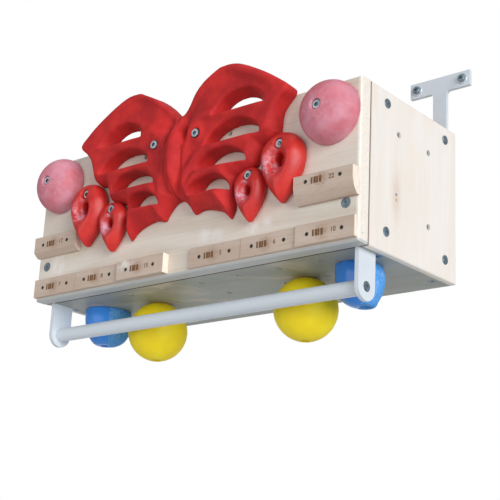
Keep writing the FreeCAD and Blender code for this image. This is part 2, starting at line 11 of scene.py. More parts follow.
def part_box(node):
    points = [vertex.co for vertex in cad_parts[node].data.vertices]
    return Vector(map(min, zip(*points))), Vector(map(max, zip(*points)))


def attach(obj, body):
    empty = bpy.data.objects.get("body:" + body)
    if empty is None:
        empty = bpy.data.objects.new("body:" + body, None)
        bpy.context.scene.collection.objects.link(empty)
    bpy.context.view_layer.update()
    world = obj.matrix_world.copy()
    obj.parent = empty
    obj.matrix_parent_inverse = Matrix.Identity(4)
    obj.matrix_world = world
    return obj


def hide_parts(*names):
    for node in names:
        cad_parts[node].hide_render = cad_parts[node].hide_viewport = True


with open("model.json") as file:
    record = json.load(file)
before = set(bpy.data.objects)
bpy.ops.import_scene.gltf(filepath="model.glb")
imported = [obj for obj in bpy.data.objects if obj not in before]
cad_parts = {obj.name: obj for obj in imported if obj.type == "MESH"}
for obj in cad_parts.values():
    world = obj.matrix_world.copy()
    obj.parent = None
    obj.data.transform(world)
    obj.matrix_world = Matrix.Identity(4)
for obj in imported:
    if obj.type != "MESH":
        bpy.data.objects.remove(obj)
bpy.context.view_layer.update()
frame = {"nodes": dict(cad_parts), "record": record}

MM = 0.001
NODES = frame["nodes"]
PANEL_LOW, PANEL_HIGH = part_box("front_panel")
FRONT_Y = PANEL_LOW.y
FLOOR_Z = PANEL_LOW.z
HALF_W = PANEL_HIGH.x / MM
# radius of every recess that takes a bolt head
RECESS_R = 9.5


def to_part(points):
    """Part metres from board millimetres: x from the centre, y behind the front, z above the underside."""
    return np.asarray(points, float) * MM + np.array([0.0, FRONT_Y, FLOOR_Z])


def at(x, y, z):
    return Vector(to_part([x, y, z]))


# ---------------------------------------------------------------- meshes
def add_mesh(name, verts, faces, material, smooth=True):
    mesh = bpy.data.meshes.new(name)
    mesh.from_pydata([tuple(v) for v in verts], [], [tuple(f) for f in faces])
    mesh.validate()
    mesh.update()
    mesh.polygons.foreach_set("use_smooth", [smooth] * len(mesh.polygons))
    mesh.materials.append(material)
    piece = bpy.data.objects.new(name, mesh)
    bpy.context.scene.collection.objects.link(piece)
    return piece


def finish_piece(piece, slot, *nodes):
    """Ties a piece to the fixed body and hides the CAD nodes that it stands for; slot is not used."""
    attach(piece, "root")
    if nodes:
        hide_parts(*nodes)
    return piece


# ---------------------------------------------------------------- sculpting with distance fields, in mm
def smooth_max(a, b, k):
    h = np.clip(0.5 + 0.5 * (a - b) / k, 0.0, 1.0)
    return b + (a - b) * h + k * h * (1.0 - h)


def smooth_min(a, b, k):
    return -smooth_max(-a, -b, k)


def grid(low, high, step):
    """Coordinates of a regular grid, and its first corner."""
    axes = [np.arange(a, b + step, step) for a, b in zip(low, high)]
    return np.meshgrid(*axes, indexing="ij", sparse=True), np.array([a[0] for a in axes])


def surface_nets(field, origin, step, rounds=2):
    """Closed quad mesh of the field's zero surface: one vertex in each cell that the surface crosses."""
    inside = field < 0
    cells = tuple(n - 1 for n in field.shape)
    total = np.zeros(cells + (3,))
    count = np.zeros(cells)
    for axis in range(3):
        b, c = [a for a in range(3) if a != axis]
        for db in (0, 1):
            for dc in (0, 1):
                start = [0, 0, 0]
                start[b], start[c] = db, dc
                end = list(start)
                end[axis] += 1
                near = tuple(slice(s, s + n) for s, n in zip(start, cells))
                far = tuple(slice(s, s + n) for s, n in zip(end, cells))
                crossed = inside[near] != inside[far]
                f0, f1 = field[near][crossed], field[far][crossed]
                point = np.tile(np.array(start, float), (len(f0), 1))
                point[:, axis] += f0 / (f0 - f1)
                total[crossed] += point
                count[crossed] += 1
    used = count > 0
    index = np.full(cells, -1)
    index[used] = np.arange(used.sum())
    verts = (total[used] / count[used][:, None] + np.argwhere(used)) * step + origin
    quads = []
    for axis in range(3):
        b, c = (axis + 1) % 3, (axis + 2) % 3
        inner = [slice(1, n - 1) for n in field.shape]
        inner[axis] = slice(0, field.shape[axis] - 1)
        here = inside[tuple(inner)]
        ahead = list(inner)
        ahead[axis] = slice(1, field.shape[axis])
        there = inside[tuple(ahead)]
        for flip, mask in ((False, here & ~there), (True, ~here & there)):
            p = np.argwhere(mask) + np.array([s.start for s in inner])
            ring = []
            for ob, oc in ((0, 0), (-1, 0), (-1, -1), (0, -1)):
                q = p.copy()
                q[:, b] += ob
                q[:, c] += oc
                ring.append(index[q[:, 0], q[:, 1], q[:, 2]])
            quad = np.stack(ring, 1)
            quads.append(quad[:, ::-1] if flip else quad)
    quads = np.concatenate(quads)
    return relax(verts, quads, rounds), quads


def relax(verts, quads, rounds):
    """Moves each vertex part of the way to its neighbours' mean."""
    pairs = np.concatenate([quads[:, [i, (i + 1) % 4]] for i in range(4)])
    for _ in range(rounds):
        total = np.zeros_like(verts)
        weight = np.zeros(len(verts))
        for one, other in ((0, 1), (1, 0)):
            np.add.at(total, pairs[:, one], verts[pairs[:, other]])
            np.add.at(weight, pairs[:, one], 1)
        verts = verts * 0.5 + total / weight[:, None] * 0.5
    return verts


def sculpt_pair(name, field, origin, step, slot, material, rounds=2, left_change=None):
    """A right-hand hold and its mirror image, each in place of its CAD solid."""
    verts, quads = surface_nets(field, origin, step, rounds)
    for side, sign in (("right", 1), ("left", -1)):
        shaped = left_change(verts.copy()) if left_change and sign < 0 else verts
        placed = to_part(shaped * np.array([sign, 1, 1]))
        faces = quads if sign > 0 else quads[:, ::-1]
        node = f"{name}_{side}"
        piece = add_mesh(f"{node}_sculpted", placed, faces, material)
        finish_piece(piece, slot, node)


def curve_through(points, per_span=8):
    """Smooth open curve through a few points (Catmull-Rom)."""
    p = np.array(points, float)
    if len(p) == 2:
        return p
    p = np.vstack([2 * p[0] - p[1], p, 2 * p[-1] - p[-2]])
    t = np.linspace(0, 1, per_span, endpoint=False)[:, None]
    out = []
    for a, b, c, d in zip(p[:-3], p[1:-2], p[2:-1], p[3:]):
        square, cube = 2 * a - 5 * b + 4 * c - d, 3 * b - a - 3 * c + d
        out.append(0.5 * (2 * b + (c - a) * t + square * t**2 + cube * t**3))
    return np.vstack(out + [p[-2:-1]])


def path_distance(x, z, path):
    """Distance of each (x, z) to an open path."""
    best = np.full(np.broadcast(x, z).shape, 1e9)
    for (ax, az), (bx, bz) in zip(path[:-1], path[1:]):
        dx, dz = bx - ax, bz - az
        t = np.clip(((x - ax) * dx + (z - az) * dz) / (dx * dx + dz * dz + 1e-9), 0, 1)
        best = np.minimum(best, np.hypot(x - ax - t * dx, z - az - t * dz))
    return best


def outline_distance(x, z, path):
    """Signed distance to a closed outline, negative inside."""
    closed = np.vstack([path, path[:1]])
    inside = np.zeros(np.broadcast(x, z).shape, bool)
    for (ax, az), (bx, bz) in zip(closed[:-1], closed[1:]):
        if az != bz:
            crosses = (az > z) != (bz > z)
            inside ^= crosses & (x < (bx - ax) * (z - az) / (bz - az) + ax)
    distance = path_distance(x, z, closed)
    return np.where(inside, -distance, distance)


def bolt_recess(field, x, y, z, centre, floor_y, k=2.0):
    """Sinks a round recess along Y down to floor_y."""
    hole = np.maximum(np.hypot(x - centre[0], z - centre[1]) - RECESS_R, y - floor_y)
    return smooth_max(field, -hole, k)


# ---------------------------------------------------------------- the wing boards
# outline of the right-hand wing: each run is a smooth curve, and runs meet in corners
WING_RUNS = [
    [(1, 311), (16, 325), (36, 344), (66, 366), (106, 387)],
    [(106, 387), (138, 384), (172, 370), (219, 343), (262, 313)],
    [(262, 313), (269, 305), (267, 296)],
    [(267, 296), (250, 279), (241, 262), (238, 227)],
    [(238, 227), (226, 217), (213, 213), (200, 211)],
    [(200, 211), (194, 196), (189, 178)],
    [(189, 178), (172, 169), (156, 166), (140, 162)],
    [(140, 162), (137, 128), (138, 104), (129, 84)],
    [(129, 84), (106, 103), (66, 114), (38, 109)],
    [(38, 109), (28, 124), (14, 138), (3, 146)],
]
# crests of the feathers, from tip to root, and last the crest along the top arm
WING_RIDGES = [
    [(212, 284), (140, 284), (103, 290), (72, 294), (55, 286), (39, 270), (28, 248), (25, 225), (25, 190),
     (27, 151)],
    [(206, 225), (116, 225), (97, 226), (78, 224), (63, 217), (51, 206), (38, 191), (31, 168), (27, 145)],
    [(168, 180), (107, 180), (86, 181), (66, 178), (52, 169), (41, 154), (38, 136)],
    [(130, 133), (91, 134), (64, 135), (56, 130), (52, 122)],
    [(12, 306), (34, 340), (62, 362), (112, 376), (152, 368), (206, 342), (252, 312)],
]
# where the thick outer column of the wing begins, from its top to its bottom
WING_COLUMN = [(252, 330), (222, 296), (214, 240), (184, 192), (149, 140), (132, 92)]
# the level lip of each slot; then at the front and at the panel: left end, right end and rise of the roof
WING_MOUTHS = [
    dict(lip=288, front=(93, 220, 46), back=(100, 196, 32)),
    dict(lip=231, front=(73, 210, 41), back=(77, 199, 36)),
    dict(lip=185, front=(52, 179, 33), back=(69, 165, 33)),
    dict(lip=139, front=(34, 146, 31), back=(53, 120, 33)),
]
# valley between the middle leaf and the top arm
WING_VALLEY = [(15, 330), (19, 292), (24, 250)]
# height, and how thick the outer and lower rims are there
WING_RIM = [(84, 8), (140, 12), (180, 13), (228, 15), (270, 28), (295, 42)]
WING_BOLT = (54.0, 261.0)
# floor of the recess under the bolt head
WING_SEAT_Y = -32.0
WING_THICKNESS = 38.0
VALLEY_DEPTH = 15.0
RIDGE_WIDTH = 12.0
MEMBRANE_THICKNESS, RIDGE_HEIGHT = 31.5, 8.5
# the middle leaf: half width, reach off the panel, middle and half length
LEAF_HALF_W, LEAF_REACH, LEAF_MIDDLE_Z, LEAF_HALF_L, LEAF_FULLNESS = 25.0, 57.0, 226.0, 83.0, 2.4


def slot_field(x, y, z, mouth):
    """One finger slot: its left end sweeps inwards from the front to the panel, over a crisp level lip."""
    depth = np.clip(1.0 + y / WING_THICKNESS, 0.0, 1.0)
    left, right, rise = (f + (g - f) * depth for f, g in zip(mouth["front"], mouth["back"]))
    half = (right - left) / 2
    run = (x - (left + right) / 2) / half
    roof = np.maximum(z - mouth["lip"], 0) / rise
    arch = (np.sqrt(run**2 + roof**2) - 1.0) * np.minimum(half, rise)
    return smooth_max(arch, mouth["lip"] - z, 2.0)


def wing_relief(x, z, edge):
    """How far the front stands off the panel: soft feather ridges, a valley and a level seat for the bolt."""
    ridge = np.zeros(np.broadcast(x, z).shape)
    for points in WING_RIDGES:
        near = path_distance(x, z, curve_through(points, 5))
        ridge += np.exp(-((near / RIDGE_WIDTH) ** 2)) ** 3
    relief = MEMBRANE_THICKNESS + RIDGE_HEIGHT * np.minimum(ridge, 1.6) ** (1 / 3)
    column_x, column_z = zip(*WING_COLUMN[::-1])
    inner = np.interp(z, column_z, column_x)
    column = 1.0 / (1.0 + np.exp(-(x - inner + 6.0) / 6.0))
    relief = relief + (37.0 - relief) * column
    rim = np.interp(z, *zip(*WING_RIM)) - 1.15 * edge
    relief = -smooth_max(-relief, -rim, 6.0)
    valley = path_distance(x, z, curve_through(WING_VALLEY, 5))
    valley_width = 9.0 + 20.0 * np.clip((z - 292) / 34, 0, 1)
    fade = np.clip((z - 236) / 40, 0, 1)
    relief = relief - VALLEY_DEPTH * np.exp(-((valley / valley_width) ** 2)) * fade
    seat = np.exp(-((np.hypot(x - WING_BOLT[0], z - WING_BOLT[1]) / 15.0) ** 4))
    return relief + (WING_THICKNESS - relief) * seat


def tuck_leaf(verts):
    """The left half of the middle leaf lies a little lower than the right half, which overlaps it."""
    near = np.clip(1.0 - verts[:, 0] / 26.0, 0, 1)
    proud = np.clip((-verts[:, 1] - 34.0) / 10.0, 0, 1)
    verts[:, 1] += 7.0 * near * proud
    return verts


def make_wings():
    """Relief inside the outline, with the middle leaf over it, four slots through it and a sunk bolt."""
    step = 1.8
    (x, y, z), origin = grid((-6, -64, 78), (290, 8, 396), step)
    flat_x, flat_z = x[:, 0, :], z[:, 0, :]
    path = np.vstack([curve_through(run)[:-1] for run in WING_RUNS])
    flat_edge = outline_distance(flat_x, flat_z, path)
    edge = flat_edge[:, None, :]
    relief = wing_relief(flat_x, flat_z, flat_edge)[:, None, :]
    shoulder = np.clip((x - 100) / 50, 0, 1) * np.clip((z - 285) / 30, 0, 1)
    body = smooth_max(-relief - y, edge - (0.08 - 0.14 * shoulder) * y, 8.0)
    section = np.abs(x / LEAF_HALF_W) ** LEAF_FULLNESS + np.abs(y / LEAF_REACH) ** LEAF_FULLNESS
    leaf = np.sqrt(section ** (2 / LEAF_FULLNESS) + ((z - LEAF_MIDDLE_Z) / LEAF_HALF_L) ** 2)
    body = smooth_min(body, (leaf - 1.0) * 22, 5.0)
    for mouth in WING_MOUTHS:
        body = smooth_max(body, -slot_field(x, y, z, mouth), 5.0)
    body = bolt_recess(body, x, y, z, WING_BOLT, WING_SEAT_Y)
    body = np.maximum(body, y)
    body = np.maximum(body, 0.5 - x)
    sculpt_pair("wing_board", body, origin, step, "matte_red_resin", MATTE_RED, left_change=tuck_leaf)


# ---------------------------------------------------------------- pockets and slopers
# depth of the sloper's bolt recess, and height of a hold bolt's head
SLOPER_RECESS = 11.0
BOLT_HEAD_H = 6.0
# floor of a pocket's bolt recess, as a share of the pocket's depth
POCKET_SEAT = -0.45
POCKETS = {
    "pocket_large": dict(x=251.0, z=178.0, r=45.0, tip=88.0, depth=42.0,
                         hole_r=14.5, bolt_z=200.0, hole_z=170.0),
    "pocket_small": dict(x=177.0, z=139.0, r=33.0, tip=66.0, depth=34.0,
                         hole_r=10.5, bolt_z=156.0, hole_z=127.0),
}


def drop_distance(x, z, centre, r, tip):
    """Roughly signed distance to a teardrop: a circle whose full flanks draw in to a point below it."""
    px, pz = np.abs(x - centre[0]), centre[1] - z
    t = np.clip(pz / (centre[1] - tip), 0, 1.2)
    flank = (px - r * (1.0 - t**2)) * (1.0 - 0.38 * t)
    return np.where(pz < 0, np.hypot(px, pz) - r, flank)


def make_pocket(name, p):
    """Teardrop with a flattened front, a sunk bolt and a wide scoop that leads into the finger hole."""
    step = 1.1
    low = (p["x"] - p["r"] - 8, -p["depth"] - 6, p["tip"] - 5)
    (x, y, z), origin = grid(low, (p["x"] + p["r"] + 8, 5, p["z"] + p["r"] + 8), step)
    edge = drop_distance(x, z, (p["x"], p["z"]), p["r"] - 1.0, p["tip"] + 6.0)
    edge = edge - 4.0 * np.sin(np.clip(-y / 16.0, 0, 1) * math.pi / 2)
    reach = p["r"] * 0.80
    bulge = np.clip(reach + edge, 0, None) / reach
    body = (np.sqrt(bulge**2 + (y / p["depth"]) ** 2) - 1.0) * reach
    body = smooth_max(body, edge, 3.0)
    facet = -y - p["depth"] + 3.0 + 0.32 * np.clip(z - p["z"], 0, None)
    body = smooth_max(body, facet, 5.0)
    body = bolt_recess(body, x, y, z, (p["x"], p["bolt_z"]), POCKET_SEAT * p["depth"], k=3.0)
    hole_r = p["hole_r"]
    scoop = np.sqrt(((x - p["x"]) / (1.55 * hole_r)) ** 2 + ((y + p["depth"] + 1.0) / (1.5 * hole_r)) ** 2
                    + ((z - p["hole_z"] + 4.0) / (1.95 * hole_r)) ** 2)
    body = smooth_max(body, (1.0 - scoop) * hole_r, 6.0)
    bore = np.hypot((x - p["x"]) / 0.9, (z - p["hole_z"]) / 1.25) - 0.72 * hole_r
    body = smooth_max(body, -np.maximum(bore, y + 5.0), 3.5)
    body = np.maximum(body, y)
    sculpt_pair(name, body, origin, step, "red_resin", POCKET_RED)


def make_slopers():
    """A full, slightly uneven dome with a sunk bolt."""
    low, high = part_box("sloper_right")
    centre = [((low[i] + high[i]) / 2 - (0.0, 0.0, FLOOR_Z)[i]) / MM for i in (0, 1, 2)]
    cx, cz, r = centre[0], centre[2], (high.x - low.x) / 2 / MM
    h = (high.y - low.y) / MM
    step = 1.6
    (x, y, z), origin = grid((cx - r - 5, -h - 5, cz - r - 5), (cx + r + 5, 5, cz + r + 5), step)
    plan = np.hypot(x - cx, z - cz) / r
    body = ((plan**2.3 + (np.abs(y) / h) ** 2.1) ** (1 / 2.2) - 1.0) * h
    body = smooth_max(body, plan * r - r + 0.4, 3.0)
    body = bolt_recess(body, x, y, z, (cx, cz), SLOPER_RECESS - h, k=2.5)
    body = np.maximum(body, y)
    sculpt_pair("sloper", body, origin, step, "chalked_red_resin", SLOPER_RED)


# ---------------------------------------------------------------- turned holds under the box
def lathe(profile, segments=96):
    """Closed surface of revolution about Z from (radius, z) pairs that start and end on the axis."""
    verts, faces = [(0, 0, profile[0][1])], []
    rings = profile[1:-1]
    for radius, z in rings:
        verts += [(radius * math.cos(t), radius * math.sin(t), z)
                  for t in np.linspace(0, 2 * math.pi, segments, endpoint=False)]
    verts.append((0, 0, profile[-1][1]))
    last = len(verts) - 1
    for j in range(segments):
        k = (j + 1) % segments
        faces.append((0, 1 + k, 1 + j))
        for i in range(len(rings) - 1):
            a, b = 1 + i * segments, 1 + (i + 1) * segments
            faces.append((a + j, a + k, b + k, b + j))
        a = 1 + (len(rings) - 1) * segments
        faces.append((a + j, a + k, last))
    return np.array(verts, float), faces


# how far the mould line stands out round the ball's middle
MOULD_LINE = 0.45


def ball_profile(r, flat, recess_r, recess):
    """Ball cut flat on top, with a fine mould line at its middle and a bolt recess at the bottom pole."""
    top = math.acos(flat / r)
    bottom = math.pi - math.asin((recess_r + 1.5) / r)
    profile = [(0, flat)]
    for t in np.linspace(top, bottom, 90):
        ridge = MOULD_LINE * math.exp(-(((t - math.pi / 2) * r / 0.9) ** 2))
        profile.append(((r + ridge) * math.sin(t), r * math.cos(t)))
    mouth = -math.sqrt(r * r - recess_r * recess_r)
    floor = mouth + recess
    profile += [(recess_r + 0.4, mouth + 0.1), (recess_r, mouth + 1.2), (recess_r, floor), (0, floor)]
    return profile


def make_balls():
    low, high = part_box("ball_right")
    r = (high.x - low.x) / 2 / MM
    flat = (high.z - low.z) / MM - r
    verts, faces = lathe(ball_profile(r - MOULD_LINE, flat, RECESS_R, 13.0))
    for side in ("right", "left"):
        low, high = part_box(f"ball_{side}")
        centre = np.array([(low.x + high.x) / 2, (low.y + high.y) / 2, low.z + r * MM])
        piece = add_mesh(f"ball_{side}_moulded", verts * MM + centre, faces, YELLOW)
        finish_piece(piece, "yellow_resin", f"ball_{side}")


# radius of the unshaped turning
PINCH_R = 49.0


def pinch_profile(r, height):
    """Upright wall under the panel that rounds over to a flat crown with a deep bolt recess."""
    profile = [(0, 0), (r - 1.0, 0), (r, -1.0), (r, -5.0), (r, -10.0)]
    crown, shoulder = 13.0, 12.0
    for t in np.linspace(0.0, 1.0, 40)[1:]:
        angle = t * math.pi / 2
        radius = crown + (r - crown) * math.cos(angle) ** 0.92
        profile.append((radius, -shoulder - (height - shoulder) * math.sin(angle)))
    floor = 28.0 - height
    profile += [(RECESS_R + 0.7, -height), (RECESS_R, -height + 0.8), (RECESS_R, floor), (0, floor)]
    return profile


# plan radius and offset of each blue hold from its bolt: the same hold is turned differently on each side
PINCH_PLAN = {"right": (46.0, -8.0, -7.0), "left": (51.0, 4.0, 3.0)}


def make_pinches():
    low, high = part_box("pinch_right")
    verts, faces = lathe(pinch_profile(PINCH_R, (high.z - low.z) / MM))
    for side, (plan_r, shift_x, shift_y) in PINCH_PLAN.items():
        low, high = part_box(f"pinch_{side}")
        centre = np.array([(low.x + high.x) / 2, (low.y + high.y) / 2, high.z])
        radius = np.hypot(verts[:, 0], verts[:, 1])
        outer = np.clip((radius - 11.0) / 24.0, 0, 1)[:, None]
        shaped = verts.copy()
        shaped[:, :2] *= 1 + (plan_r / PINCH_R - 1) * outer
        tuck = 0.20 * np.exp(verts[:, 2] / 13.0) * np.clip(verts[:, 0] / PINCH_R, 0, 1)
        shaped[:, :2] *= 1 - tuck[:, None] * outer
        shaped[:, :2] += np.array([shift_x, shift_y]) * outer
        piece = add_mesh(f"pinch_{side}_moulded", shaped * MM + centre, faces, BLUES[side])
        finish_piece(piece, "blue_resin", f"pinch_{side}")


# ---------------------------------------------------------------- small hardware and marks
# points in each ring of the small hardware
SIDES = 48


def socket_head(bm, radius, height, base, across):
    """Round head with a chamfered rim and a hexagon socket."""
    top = base + height
    add_rings(bm, [ring(radius, base), ring(radius, top - 1.2), ring(radius - 1.4, top),
                   hexagon(across, top), hexagon(across, top - 3.5)])


def hexagon(across, z):
    """Points round a hexagon, one for each point of a ring."""
    points = []
    for i in range(SIDES):
        angle = 2 * math.pi * i / SIDES
        reach = across / 2 / math.cos((angle + math.pi / 6) % (math.pi / 3) - math.pi / 6)
        points.append((reach * math.cos(angle), reach * math.sin(angle), z))
    return points


def mesh_piece(name, bm, matrix, material, slot):
    """Turns a bmesh in millimetres into a placed piece."""
    bm.transform(matrix @ Matrix.Scale(MM, 4))
    mesh = bpy.data.meshes.new(name)
    bm.to_mesh(mesh)
    bm.free()
    mesh.materials.append(material)
    piece = bpy.data.objects.new(name, mesh)
    bpy.context.scene.collection.objects.link(piece)
    return finish_piece(piece, slot)


TO_FRONT = Matrix.Rotation(math.radians(90), 4, "X")


def make_wall_bolts():
    """Washer and socket-head bolt in each hole of the two wall plates."""
    mounts = {m["name"]: m for m in frame["record"]["mounts"]}
    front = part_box("wall_bracket_right")[0].y
    for name in ("wall_bolts_outer", "wall_bolts_inner"):
        half = mounts[name]["dims"]["spacing_x_mm"] / 2 * MM
        height = mounts[name]["pos_m"][2]
        for side, sign in (("right", 1), ("left", -1)):
            where = Matrix.Translation((sign * half, front, height)) @ TO_FRONT
            washer, head = bmesh.new(), bmesh.new()
            add_washer(washer, 11.0, 2.0)
            mesh_piece(f"{name}_washer_{side}", washer, where, BRIGHT_ZINC, "zinc_steel")
            socket_head(head, 7.6, 5.0, 2.0, 6.0)
            mesh_piece(f"{name}_head_{side}", head, where, ZINC_GREY, "zinc_steel")


def make_seat_washers():
    """Dark steel ring round each hold bolt at the bottom of its recess: painted shade for the gap between the
    bolt head and the recess wall.
    """
    seats = [("wing", WING_BOLT[0], WING_BOLT[1], WING_SEAT_Y)]
    low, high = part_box("sloper_right")
    middle = (low + high) / 2
    seats.append(("sloper", middle.x / MM, (middle.z - FLOOR_Z) / MM, SLOPER_RECESS + (low.y - high.y) / MM))
    seats += [(name, p["x"], p["bolt_z"], POCKET_SEAT * p["depth"]) for name, p in POCKETS.items()]
    for name, x, z, y in seats:
        for side, sign in (("right", 1), ("left", -1)):
            bm = bmesh.new()
            rims = [ring(8.15, 0), ring(9.35, 0), ring(9.35, 4.6), ring(8.15, 4.6)]
            rows = [[bm.verts.new(p) for p in rim] for rim in rims]
            for a, b in zip(rows, rows[1:] + rows[:1]):
                bridge(bm, a, b)
            bmesh.ops.recalc_face_normals(bm, faces=bm.faces[:])
            where = Matrix.Translation(at(sign * x, y, z)) @ TO_FRONT
            mesh_piece(f"{name}_bolt_shade_ring_{side}", bm, where, DARK_STEEL, "zinc_steel")


def bridge(bm, a, b):
    """Faces between two equal rings of vertices."""
    for i in range(len(a)):
        j = (i + 1) % len(a)
        bm.faces.new((a[i], a[j], b[j], b[i]))


def add_rings(bm, rings):
    """Bridges equal rings of points and caps both ends."""
    rows = [[bm.verts.new(p) for p in points] for points in rings]
    for a, b in zip(rows[:-1], rows[1:]):
        bridge(bm, a, b)
    bm.faces.new(rows[0][::-1])
    bm.faces.new(rows[-1])


def ring(radius, z):
    angles = [2 * math.pi * i / SIDES for i in range(SIDES)]
    return [(radius * math.cos(t), radius * math.sin(t), z) for t in angles]


def add_washer(bm, radius, height):
    add_rings(bm, [ring(radius - 0.3, 0), ring(radius, 0.3), ring(radius, height - 0.5),
                   ring(radius - 0.5, height)])


EDGE_NAMES = [n for n in NODES if n.startswith("edge_") and n.endswith("mm")]
MARK_SIZE = 12.0
STROKE_WIDTHS = (4.0, 5.4, 4.0, 5.4)
STROKE_PITCH = 5.9


def mark_place(name):
    """Middle of the marks on a wooden edge, on its front, and the edge's length."""
    low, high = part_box(name)
    return Vector(((low.x + high.x) / 2, low.y, MARK_Z.get(name, (low.z + high.z) / 2))), high.x - low.x


def make_edge_marks():
    """Depth in millimetres burnt into each wooden edge, beside four plain scorched strokes."""
    for name in EDGE_NAMES:
        middle, width = mark_place(name)
        text = bpy.data.curves.new(f"{name}_number", "FONT")
        text.body = str(int(name[5:7]))
        text.size = MARK_SIZE * MM
        text.extrude = 0.12 * MM
        text.offset = 0.25 * MM
        text.align_x, text.align_y = "LEFT", "CENTER"
        piece = bpy.data.objects.new(f"{name}_number", text)
        piece.matrix_world = Matrix.Translation(middle + Vector((0.10 * width, 0, 0))) @ TO_FRONT
        bpy.context.scene.collection.objects.link(piece)
        text.materials.append(SCORCH)
        finish_piece(piece, "beech")
        strokes = bmesh.new()
        lean = Matrix.Shear("XZ", 4, (0.0, 0.12))
        for i, wide in enumerate(STROKE_WIDTHS):
            across = -0.20 * width + (STROKE_PITCH * i + wide / 2) * MM
            verts = bmesh.ops.create_cube(strokes, size=1.0)["verts"]
            shift = Matrix.Translation(middle + Vector((across, -0.02 * MM, 0)))
            size = Matrix.Diagonal((wide * MM, 0.24 * MM, MARK_SIZE * MM, 1))
            bmesh.ops.transform(strokes, matrix=shift @ lean @ size, verts=verts)
        bmesh.ops.bevel(strokes, geom=strokes.edges[:], offset=0.1 * MM, segments=1, affect="EDGES")
        mesh_piece(f"{name}_scorch", strokes, Matrix.Scale(1 / MM, 4), SCORCH, "beech")


# ---------------------------------------------------------------- materials
class Shader:
    """A small builder for one node material, with positions in part metres."""

    def __init__(self, name):
        self.material = bpy.data.materials.new(name)
        self.material.use_nodes = True
        self.tree = self.material.node_tree
        self.surface = self.tree.nodes["Principled BSDF"]
        self.position = self.add("ShaderNodeTexCoord").outputs["Object"]

    def add(self, kind, inputs=None, **settings):
        node = self.tree.nodes.new(kind)
        for key, value in settings.items():
            setattr(node, key, value)
        for key, value in (inputs or {}).items():
            if isinstance(value, bpy.types.NodeSocket):
                self.tree.links.new(value, node.inputs[key])
            else:
                node.inputs[key].default_value = value
        return node

    def math(self, operation, a, b=0.0):
        return self.add("ShaderNodeMath", {0: a, 1: b}, operation=operation).outputs[0]

    def noise(self, scale, detail=4.0, rough=0.5, stretch=(1, 1, 1), distortion=0.0):
        vector = self.add("ShaderNodeMapping", {"Vector": self.position, "Scale": stretch}).outputs[0]
        inputs = {"Vector": vector, "Scale": scale, "Detail": detail, "Roughness": rough,
                  "Distortion": distortion}
        return self.add("ShaderNodeTexNoise", inputs).outputs[0]

    def ramp(self, value, low, high, out_low=0.0, out_high=1.0):
        inputs = {0: value, 1: low, 2: high, 3: out_low, 4: out_high}
        return self.add("ShaderNodeMapRange", inputs, interpolation_type="SMOOTHSTEP").outputs[0]

    def ramp_linear(self, value, low, high, out_low, out_high):
        inputs = {0: value, 1: low, 2: high, 3: out_low, 4: out_high}
        return self.add("ShaderNodeMapRange", inputs, interpolation_type="LINEAR", clamp=True).outputs[0]

    def mix(self, factor, a, b):
        return self.add("ShaderNodeMix", {0: factor, 6: a, 7: b}, data_type="RGBA").outputs[2]

    def near(self, point, radius, mirrored=False):
        """1 at a place in part metres, falling to 0 at the radius."""
        vector = self.position
        if mirrored:
            vector = self.add("ShaderNodeVectorMath", {0: vector}, operation="ABSOLUTE").outputs[0]
            point = [abs(v) for v in point]
        away = self.add("ShaderNodeVectorMath", {0: vector, 1: tuple(point)}, operation="DISTANCE")
        return self.ramp(away.outputs["Value"], 0.0, radius, 1.0, 0.0)

    def most(self, values):
        total = values[0]
        for value in values[1:]:
            total = self.math("MAXIMUM", total, value)
        return total

    def color(self, value):
        self.link(value, "Base Color")

    def link(self, value, socket):
        if isinstance(value, bpy.types.NodeSocket):
            self.tree.links.new(value, self.surface.inputs[socket])
        else:
            self.surface.inputs[socket].default_value = value

    def bump(self, height, distance, strength=1.0):
        inputs = {"Height": height, "Distance": distance, "Strength": strength}
        self.link(self.add("ShaderNodeBump", inputs).outputs[0], "Normal")


def rgb(*screen):
    """Linear colour from screen values of 0 to 255."""
    values = [c / 255 for c in screen]
    return tuple(v / 12.92 if v < 0.0404 else ((v + 0.055) / 1.055) ** 2.4 for v in values) + (1.0,)


def stretched(axis, along, across):
    """Noise stretch with the grain along one axis."""
    scale = [across] * 3
    scale[axis] = along
    return tuple(scale)


def add_knot(s, tone, knot):
    """Grey knot with an amber spot below it and a halo drawn out along the grain."""
    streaks = s.noise(90.0, 2.0)
    spot = s.near(knot, 4.6 * MM)
    amber = s.near((knot[0], knot[1], knot[2] - 10.0 * MM), 5.2 * MM)
    away = s.add("ShaderNodeVectorMath", {0: s.position, 1: tuple(knot)}, operation="SUBTRACT").outputs[0]
    flat = s.add("ShaderNodeVectorMath", {0: away, 1: (1.0, 1.0, 0.28)}, operation="MULTIPLY").outputs[0]
    reach = s.add("ShaderNodeVectorMath", {0: flat}, operation="LENGTH").outputs["Value"]
    halo = s.ramp(reach, 0.0, 21.0 * MM, 1.0, 0.0)
    cover = s.math("ADD", s.math("MULTIPLY", streaks, 0.4), 0.28)
    tone = s.mix(s.math("MULTIPLY", halo, cover), tone, rgb(206, 176, 158))
    tone = s.mix(s.ramp(amber, 0.1, 0.7, 0.0, 0.8), tone, rgb(196, 142, 102))
    return s.mix(s.ramp(spot, 0.15, 0.6, 0.0, 0.9), tone, rgb(112, 112, 128))


